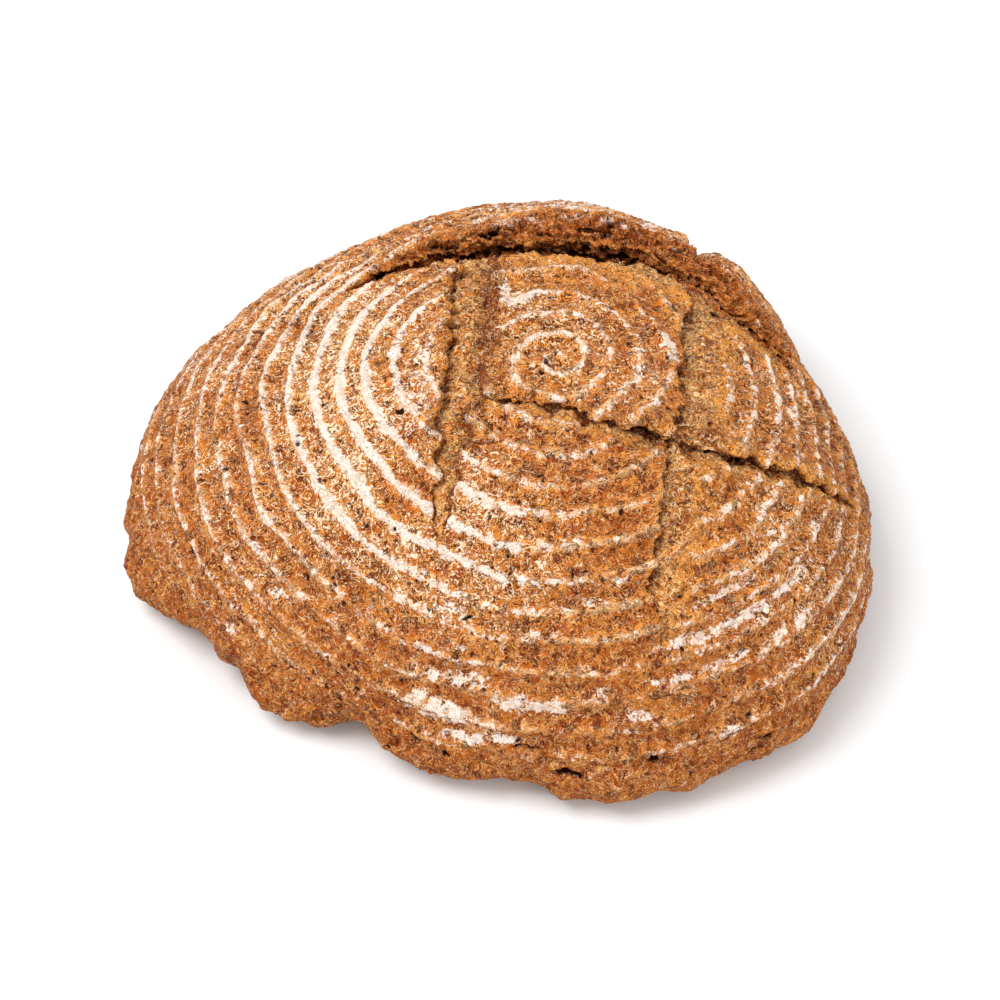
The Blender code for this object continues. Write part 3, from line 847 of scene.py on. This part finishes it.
def build_skin(material):
    """Builds the crown's two halves and the four flanks, and returns the foot's points on the table."""
    cells = CROWN_CELLS
    size, crown_facing = disc_grid(cells)
    points, known = skin(size * CROWN_SHARE, np.zeros_like(size), crown_facing)
    normals = grid_normals(points)
    normals *= np.sign(normals[cells // 4, cells // 4, 2])
    crown, crown_dress = roughened(points, normals, known)
    crown_normals = grid_normals(crown)
    crown_normals *= np.sign(crown_normals[..., 2].mean())

    columns = 4 * cells
    rim = np.arange(columns) * 2 * np.pi / columns
    mean_side = TRAVEL.along[-1].mean() * (1 - CROWN_SHARE)
    dome_rows = int(round(FLANK_ROWS * mean_side / (mean_side + BELLY_LENGTH)))
    belly_rows = FLANK_ROWS - dome_rows
    step = (1 - CROWN_SHARE) / dome_rows
    shares = np.concatenate((CROWN_SHARE + step * np.arange(-1, dome_rows + 1), np.ones(belly_rows)))
    curls = np.concatenate((np.zeros(dome_rows + 2), np.linspace(0, 1, belly_rows + 1)[1:]))
    share, _ = np.meshgrid(shares, rim, indexing="ij")
    curl, facing = np.meshgrid(curls, rim, indexing="ij")
    points, known = skin(share, curl, facing)
    normals = grid_normals(points, wrap=True)
    outward = np.array((1, 0, 0.5))  # for the first column, which faces along x
    normals *= np.sign(normals[1, 0] @ outward)
    flank, flank_dress = roughened(points, normals, known)
    flank_normals = grid_normals(flank, wrap=True)
    flank_normals *= np.sign(flank_normals[1, 0] @ outward)

    # The crown's rim takes the flanks' own points, so that no gap shows.
    at_rim = size > 1 - 1e-9
    index = np.round(crown_facing[at_rim] / (2 * np.pi) * columns).astype(int) % columns
    crown[at_rim] = flank[1, index]
    crown_normals[at_rim] = flank_normals[1, index]
    for key in crown_dress:
        crown_dress[key][at_rim] = flank_dress[key][1, index]

    half = cells // 2
    for name, part in (("crown_left", slice(0, half + 1)), ("crown_right", slice(half, cells + 1))):
        dress = {key: value[:, part] for key, value in crown_dress.items()}
        dressed_piece(name, crown[:, part], crown_normals[:, part], dress, material)
    names = ("flank_back_right", "flank_back_left", "flank_front_left", "flank_front_right")
    for number, name in enumerate(names):
        part = np.arange(number * cells, (number + 1) * cells + 1) % columns
        dress = {key: value[1:, part] for key, value in flank_dress.items()}
        dressed_piece(name, flank[1:, part], flank_normals[1:, part], dress, material, turn=True)
    return flank[-1]


def build_underside(rim, material):
    """The baked underside: a square grid bent into a disc, whose border takes the foot's own points."""
    bm = bmesh.new()
    cells = len(rim) // 8
    bmesh.ops.create_grid(bm, x_segments=cells, y_segments=cells, size=1)
    border = [edge for edge in bm.edges if edge.is_boundary]
    bmesh.ops.subdivide_edges(bm, edges=border, cuts=1)
    bmesh.ops.triangulate(bm, faces=[face for face in bm.faces if len(face.verts) > 4])
    square = np.array([vert.co[:2] for vert in bm.verts])
    size, facing = bent_square(square[:, 0], square[:, 1])
    at_rim = size > 1 - 1e-4
    index = np.round(facing / (2 * np.pi) * len(rim)).astype(int) % len(rim)
    places = rim.mean(axis=0) + (rim[index] - rim.mean(axis=0)) * size[:, None]
    dents = 0.0009 * np.clip(field(places, 0.02, 20, 3) + 0.2, 0, 1)
    dents += 0.0004 * np.clip(field(places, 0.003, 21, 3), 0, 1)
    places[:, 2] = dents * (1 - smoothstep(size, 0.90, 0.99))
    places[at_rim] = rim[index[at_rim]]
    for vert, place in zip(bm.verts, places):
        vert.co = place
    bmesh.ops.recalc_face_normals(bm, faces=bm.faces)
    if sum(face.normal.z for face in bm.faces) > 0:
        bmesh.ops.reverse_faces(bm, faces=bm.faces)
    mesh = bpy.data.meshes.new("underside")
    bm.to_mesh(mesh)
    bm.free()
    mesh.shade_smooth()
    finished_piece("underside", mesh, material)


# ---------------------------------------------------------------- materials


def linear(red, green, blue):
    """Linear colour from the usual 0 to 255 numbers."""

    def one(value):
        value /= 255
        return value / 12.92 if value <= 0.04045 else ((value + 0.055) / 1.055) ** 2.4

    return (one(red), one(green), one(blue), 1)


class Recipe:
    """Builds one material's nodes, a step at a time."""

    def __init__(self, name):
        self.material = bpy.data.materials.new(name)
        self.material.use_nodes = True
        self.nodes = self.material.node_tree.nodes
        self.links = self.material.node_tree.links
        self.shader = self.nodes["Principled BSDF"]
        self.place = self.nodes.new("ShaderNodeTexCoord").outputs["Object"]

    def join(self, value, socket):
        if isinstance(value, bpy.types.NodeSocket):
            self.links.new(value, socket)
        else:
            socket.default_value = value

    def noise(self, size, detail, roughness, warp):
        """Outputs of a cloudy noise whose lumps are about this size in metres."""
        node = self.nodes.new("ShaderNodeTexNoise")
        self.join(self.place, node.inputs["Vector"])
        node.inputs["Scale"].default_value = 1 / size
        node.inputs["Detail"].default_value = detail
        node.inputs["Roughness"].default_value = roughness
        node.inputs["Distortion"].default_value = warp
        return node.outputs

    def grain(self, size, detail, warp):
        return self.noise(size, detail, 0.6, warp)["Fac"]

    def maths(self, node_type, kind, values):
        """Outputs of a node that works something out from these values."""
        node = self.nodes.new(node_type)
        node.operation = kind
        for value, socket in zip(values, node.inputs):
            self.join(value, socket)
        return node.outputs

    def calc(self, kind, *values):
        return self.maths("ShaderNodeMath", kind, values)[0]

    def times(self, first, second):
        return self.calc("MULTIPLY", first, second)

    def vector(self, kind, *values):
        outputs = self.maths("ShaderNodeVectorMath", kind, values)
        return outputs["Value" if kind == "DOT_PRODUCT" else "Vector"]

    def flakes(self, size, curl, curl_size):
        """Curled flakes of bran: a random number for each flake, and a height that slopes across it."""
        swirl = self.noise(curl_size, 2, 0.5, 0)["Color"]
        swung = self.vector("SUBTRACT", swirl, (0.5, 0.5, 0.5))
        place = self.vector("MULTIPLY_ADD", swung, (curl, curl, curl), self.place)
        cells = self.nodes.new("ShaderNodeTexVoronoi")
        self.join(place, cells.inputs["Vector"])
        cells.inputs["Scale"].default_value = 1 / size
        away = self.vector("SUBTRACT", place, cells.outputs["Position"])
        tilt = self.vector("SUBTRACT", cells.outputs["Color"], (0.5, 0.5, 0.5))
        height = self.times(self.vector("DOT_PRODUCT", away, tilt), 2 / size)
        split = self.nodes.new("ShaderNodeSeparateColor")
        self.join(cells.outputs["Color"], split.inputs[0])
        return split.outputs["Red"], height

    def known(self, name):
        """The mesh's attribute of this name."""
        node = self.nodes.new("ShaderNodeAttribute")
        node.attribute_name = name
        return node.outputs["Fac"]

    def range(self, value, low, high, to_low=0.0, to_high=1.0):
        """Turns the way from low to high smoothly into the way from to_low to to_high."""
        node = self.nodes.new("ShaderNodeMapRange")
        node.interpolation_type = "SMOOTHSTEP"
        self.join(value, node.inputs["Value"])
        node.inputs["From Min"].default_value = low
        node.inputs["From Max"].default_value = high
        node.inputs["To Min"].default_value = to_low
        node.inputs["To Max"].default_value = to_high
        return node.outputs["Result"]

    def line(self, value, centre, edge, core):
        """1 where the value is within core of the centre, and 0 where it is past the edge."""
        away = self.calc("ABSOLUTE", self.calc("SUBTRACT", value, centre), 0.0)
        return self.range(away, edge, core)

    def mix(self, share, first, second):
        node = self.nodes.new("ShaderNodeMix")
        node.data_type = "RGBA"
        self.join(share, node.inputs["Factor"])
        self.join(first, node.inputs["A"])
        self.join(second, node.inputs["B"])
        return node.outputs["Result"]

    def tint(self, share, colour, *shade):
        """The colour, turned by this share to a shade in the usual 0 to 255 numbers."""
        return self.mix(share, colour, linear(*shade))

    def bump(self, height, distance, strength, under=None):
        node = self.nodes.new("ShaderNodeBump")
        node.inputs["Distance"].default_value = distance
        node.inputs["Strength"].default_value = strength
        self.join(height, node.inputs["Height"])
        if under is not None:
            self.join(under, node.inputs["Normal"])
        return node.outputs["Normal"]

    def height(self):
        """Height over the table."""
        node = self.nodes.new("ShaderNodeSeparateXYZ")
        self.join(self.place, node.inputs[0])
        return node.outputs["Z"]


def crust_material():
    """Brown crust with flour on its ridges, and crumb in the cuts, as the mesh's attributes say."""
    make = Recipe("crust")
    crumb = make.known("crumb")
    scorch_and_shade = make.known("scorch_and_shade")
    cavity_shade = make.known("cavity_shade")
    ridge = make.known("ridge")
    flour = make.known("flour")
    dust = make.known("dust")
    torn = make.known("torn")

    # Brown crust: gold and russet patches, then flakes of bran, each in its own brown.
    broad = make.grain(0.028, 2, 0.5)
    patch = make.grain(0.0075, 3, 1.2)
    bran = make.grain(0.0036, 3, 1.6)
    husk = make.grain(0.0023, 2, 2.0)
    fibre = make.grain(0.0056, 2, 3.0)
    hair = make.grain(0.0040, 2, 3.6)
    luck, slope = make.flakes(0.0024, 0.0046, 0.0038)
    crust = make.mix(make.range(broad, 0.35, 0.65), linear(194, 103, 34), linear(214, 128, 48))
    crust = make.tint(make.range(patch, 0.50, 0.64), crust, 158, 74, 22)
    crust = make.tint(make.range(patch, 0.47, 0.36), crust, 218, 138, 56)
    crust = make.tint(make.range(bran, 0.54, 0.66, 0.0, 0.45), crust, 128, 52, 12)
    # Painted shade: the crust is painted darker towards the bottom of the loaf.
    low = make.range(make.height(), 0.082, 0.014)
    crust = make.tint(make.times(low, 0.68), crust, 142, 66, 14)
    crust = make.tint(make.range(luck, 0.26, 0.10, 0.0, 0.85), crust, 88, 32, 5)
    crust = make.tint(make.times(make.range(husk, 0.44, 0.34), make.times(low, 0.55)), crust, 84, 32, 6)
    pale_husk = make.times(make.range(husk, 0.56, 0.66), make.times(low, 0.35))
    crust = make.tint(pale_husk, crust, 204, 124, 52)
    crust = make.tint(make.range(luck, 0.66, 0.86, 0.0, 0.55), crust, 226, 150, 70)
    # Painted highlight on each ridge's crest, weaker low down, then painted shade in the valleys between
    # ridges.
    crest = make.times(make.range(ridge, 0.2, 1.1, 0.0, 0.5), make.calc("MULTIPLY_ADD", low, -0.4, 1.0))
    crust = make.tint(crest, crust, 240, 196, 142)
    crust = make.tint(make.range(ridge, 0.14, 0.0, 0.0, 0.35), crust, 136, 62, 24)
    # Painted shade in creases, pits, pores and gashes.
    crust = make.tint(make.range(cavity_shade, 0.44, 0.14, 0.0, 0.8), crust, 100, 38, 10)

    # Crumb in the cuts: tan, with golden torn edges, and dark pores that are painted shade.
    open_crumb = make.mix(make.range(husk, 0.40, 0.62), linear(198, 136, 70), linear(240, 194, 128))
    open_crumb = make.tint(make.range(bran, 0.50, 0.58, 0.0, 0.8), open_crumb, 178, 88, 28)
    open_crumb = make.tint(make.range(patch, 0.52, 0.62, 0.0, 0.6), open_crumb, 196, 112, 42)
    open_crumb = make.tint(make.range(luck, 0.70, 0.85, 0.0, 0.7), open_crumb, 208, 118, 40)
    open_crumb = make.tint(make.range(luck, 0.22, 0.05, 0.0, 0.7), open_crumb, 142, 68, 24)
    # Painted shade: the pores are painted dark brown.
    open_crumb = make.tint(make.range(bran, 0.56, 0.62, 0.0, 0.85), open_crumb, 84, 34, 8)
    colour = make.mix(crumb, crust, open_crumb)
    edge = make.times(make.times(crumb, make.calc("SUBTRACT", 1.0, crumb)), 2.6)
    colour = make.tint(edge, colour, 228, 150, 60)
    # Scorched crust, and painted shade under the cuts' lips and at their bottoms, both painted dark reddish
    # brown.
    burnt_and_shade = make.calc("ADD", scorch_and_shade, make.times(make.calc("SUBTRACT", patch, 0.5), 1.4))
    colour = make.tint(make.range(burnt_and_shade, 0.30, 0.85, 0.0, 0.9), colour, 124, 48, 14)
    colour = make.tint(make.times(torn, 0.45), colour, 166, 74, 18)
    # Painted highlight: the raised sheets of the torn face are painted a lighter gold.
    sheet = make.times(torn, make.range(cavity_shade, 0.50, 0.85))
    colour = make.tint(make.times(sheet, 0.6), colour, 214, 122, 48)

    # Curled fibres of bran: each pale one is a painted highlight, with a dark painted shadow at its edge
    # beside it.
    fibre_shadow = make.line(fibre, 0.455, 0.030, 0.012)
    fibre_highlight = make.line(fibre, 0.515, 0.026, 0.010)
    hair_shadow = make.line(hair, 0.57, 0.036, 0.014)
    hair_highlight = make.line(hair, 0.65, 0.034, 0.012)
    shown = make.range(low, 0.0, 1.0, 0.86, 0.50)
    colour = make.tint(make.times(fibre_shadow, shown), colour, 76, 26, 4)
    colour = make.tint(make.times(hair_shadow, shown), colour, 60, 20, 3)
    dusty = make.range(dust, 0.02, 0.6, 0.32, 1.0)
    fibre_highlight = make.times(fibre_highlight, make.range(dusty, 0.0, 1.0, 0.36, 0.8))
    colour = make.tint(fibre_highlight, colour, 244, 192, 122)
    plain = make.range(make.calc("ADD", crumb, scorch_and_shade), 0.0, 1.0, 0.80, 0.65)
    plain = make.times(plain, make.calc("MAXIMUM", dusty, crumb))
    plain = make.times(plain, make.range(torn, 0.0, 1.0, 1.0, 0.4))
    colour = make.tint(make.times(hair_highlight, plain), colour, 252, 228, 194)
    speck = make.calc("ADD", husk, make.times(dust, 0.12))
    colour = make.tint(make.times(make.range(speck, 0.64, 0.70), plain), colour, 250, 224, 190)

    # Flour: thick on the ridge, where the crust still shows through it in specks.
    thick = make.calc("ADD", flour, make.times(make.calc("SUBTRACT", husk, 0.5), 1.9))
    thick = make.calc("ADD", thick, make.times(make.calc("SUBTRACT", luck, 0.5), 0.55))
    thick = make.range(thick, 0.36, 0.90)
    thick = make.times(thick, make.calc("MULTIPLY_ADD", fibre_shadow, -0.45, 1.0))
    thick = make.times(thick, make.calc("MULTIPLY_ADD", hair_shadow, -0.45, 1.0))
    powder = make.mix(make.range(hair, 0.35, 0.6), linear(222, 198, 176), linear(248, 236, 226))
    colour = make.mix(make.times(thick, 0.92), colour, powder)

    # Painted shade: the bottoms of holes and cracks are painted nearly black.
    deep = make.times(make.range(cavity_shade, 0.42, 0.10), make.range(scorch_and_shade, 0.2, 0.7))
    deep = make.calc("MAXIMUM", deep, make.range(cavity_shade, 0.22, 0.02))
    colour = make.tint(make.times(deep, 0.94), colour, 36, 12, 4)
    make.join(colour, make.shader.inputs["Base Color"])

    make.join(make.range(luck, 0.3, 0.7, 0.45, 0.85), make.shader.inputs["Roughness"])
    make.shader.inputs["Specular IOR Level"].default_value = 0.07
    relief = make.bump(slope, 0.0007, 0.8)
    relief = make.bump(husk, 0.0007, 0.6, relief)
    relief = make.bump(fibre, 0.0012, 0.6, relief)
    make.join(relief, make.shader.inputs["Normal"])
    return make.material


def underside_material():
    make = Recipe("baked_underside")
    broad = make.grain(0.025, 3, 0.6)
    bran = make.grain(0.003, 4, 1.6)
    colour = make.mix(make.range(broad, 0.35, 0.65), linear(128, 74, 40), linear(158, 98, 56))
    colour = make.tint(make.range(bran, 0.5, 0.66), colour, 92, 50, 28)
    colour = make.tint(make.range(make.grain(0.0012, 3, 2.0), 0.6, 0.68, 0.0, 0.5), colour, 214, 176, 134)
    make.join(colour, make.shader.inputs["Base Color"])
    make.join(make.range(bran, 0.3, 0.7, 0.7, 0.95), make.shader.inputs["Roughness"])
    make.join(make.bump(bran, 0.0008, 0.7), make.shader.inputs["Normal"])
    return make.material


def table_material():
    make = Recipe("table_white")
    make.shader.inputs["Base Color"].default_value = TABLE_COLOUR
    make.shader.inputs["Roughness"].default_value = 0.9
    make.shader.inputs["Specular IOR Level"].default_value = 0.1
    return make.material


# ---------------------------------------------------------------- table, lights, camera


def look_at(obj, target):
    obj.rotation_euler = (Vector(target) - obj.location).to_track_quat("-Z", "Y").to_euler()


def soft_light(name, place, target, width, power):
    lamp = bpy.data.lights.new(name, "AREA")
    lamp.shape = "DISK"
    lamp.size = width
    lamp.energy = power
    obj = bpy.data.objects.new(name, lamp)
    obj.location = place
    bpy.context.scene.collection.objects.link(obj)
    look_at(obj, target)


def build_studio():
    """The table, a white sky, two soft lights and the camera."""
    bm = bmesh.new()
    bmesh.ops.create_grid(bm, x_segments=1, y_segments=1, size=4)
    mesh = bpy.data.meshes.new("table")
    bm.to_mesh(mesh)
    bm.free()
    table = bpy.data.objects.new("table", mesh)
    mesh.materials.append(table_material())
    bpy.context.scene.collection.objects.link(table)

    world = bpy.data.worlds.new("studio")
    bpy.context.scene.world = world
    world.use_nodes = True
    world.node_tree.nodes["Background"].inputs["Color"].default_value = (1, 1, 1, 1)
    world.node_tree.nodes["Background"].inputs["Strength"].default_value = SKY_STRENGTH
    for light in LIGHTS:
        soft_light(*light)

    camera = bpy.data.cameras.new("camera")
    camera.sensor_width = SENSOR
    camera.lens = LENS
    eye = bpy.data.objects.new("camera", camera)
    eye.location = CAMERA_PLACE
    bpy.context.scene.collection.objects.link(eye)
    look_at(eye, CAMERA_TARGET)
    bpy.context.scene.camera = eye
    bpy.context.scene.view_settings.view_transform = "Standard"


build_underside(build_skin(crust_material()), underside_material())
build_studio()
